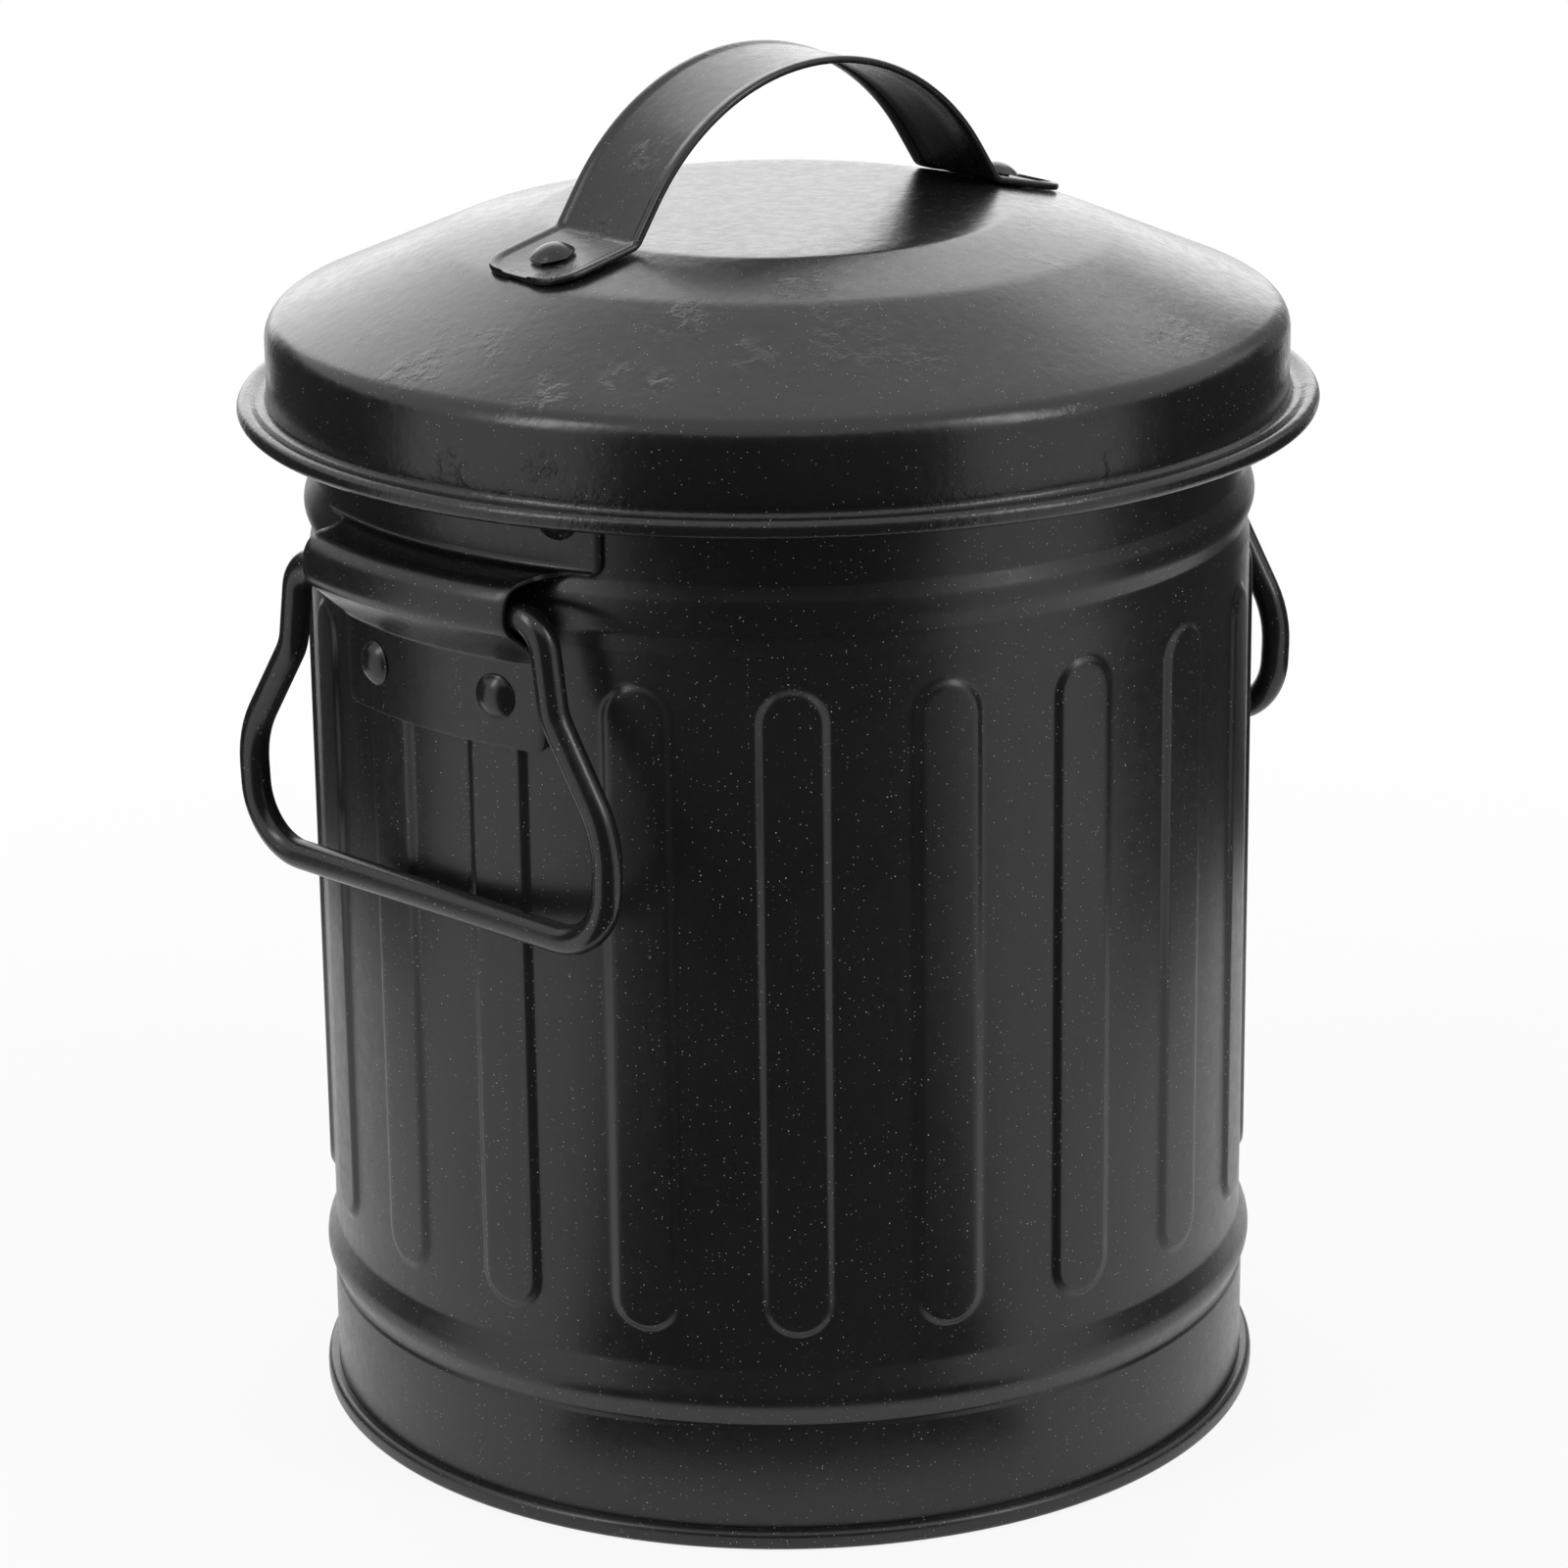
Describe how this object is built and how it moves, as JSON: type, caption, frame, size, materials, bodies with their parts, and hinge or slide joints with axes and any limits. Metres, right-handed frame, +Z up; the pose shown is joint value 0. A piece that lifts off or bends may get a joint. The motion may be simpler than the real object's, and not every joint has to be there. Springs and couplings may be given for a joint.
{
  "type": "trash can with lid",
  "caption": "Small ribbed sheet-steel trash can with a lift-off domed lid, a strap handle on the lid and swinging wire bails on the sides.",
  "frame": {"origin": "centre of the base ring, in the plane that the can stands on", "axes": "+Z up, +X and -X towards the two side handles, +Y a quarter turn from them"},
  "size_m": [0.174, 0.174, 0.2237],
  "materials": {
    "sheet_paint": "satin black powder coat with a fine ripple",
    "wire_paint": "satin black powder coat, smoother",
    "rivet_paint": "satin black paint, worn at the crown"
  },
  "bodies": {
    "can": {"can_body": "sheet_paint", "can_base": "sheet_paint", "handle_bracket_left": "sheet_paint", "handle_bracket_right": "sheet_paint", "bracket_rivet_upper_front_left": "rivet_paint", "bracket_rivet_upper_back_left": "rivet_paint", "bracket_rivet_lower_front_left": "rivet_paint", "bracket_rivet_lower_back_left": "rivet_paint", "bracket_rivet_upper_front_right": "rivet_paint", "bracket_rivet_upper_back_right": "rivet_paint", "bracket_rivet_lower_front_right": "rivet_paint", "bracket_rivet_lower_back_right": "rivet_paint"},
    "lid": {"lid_shell": "sheet_paint", "lid_handle": "sheet_paint", "lid_rivet_left": "rivet_paint", "lid_rivet_right": "rivet_paint"},
    "side_bail_left": {"bail_left": "wire_paint"},
    "side_bail_right": {"bail_right": "wire_paint"}
  },
  "joints": [
    {"name": "lid_lift", "type": "slide", "parent": "can", "child": "lid", "axis": [0, 0, 1], "range_m": [0, 0.12]},
    {"name": "left_bail_swing", "type": "hinge", "parent": "can", "child": "side_bail_left", "pos_m": [-0.0796, 0, 0.1518], "axis": [0, 1, 0], "range_deg": [0, 156]},
    {"name": "right_bail_swing", "type": "hinge", "parent": "can", "child": "side_bail_right", "pos_m": [0.0796, 0, 0.1518], "axis": [0, -1, 0], "range_deg": [0, 156]}
  ]
}
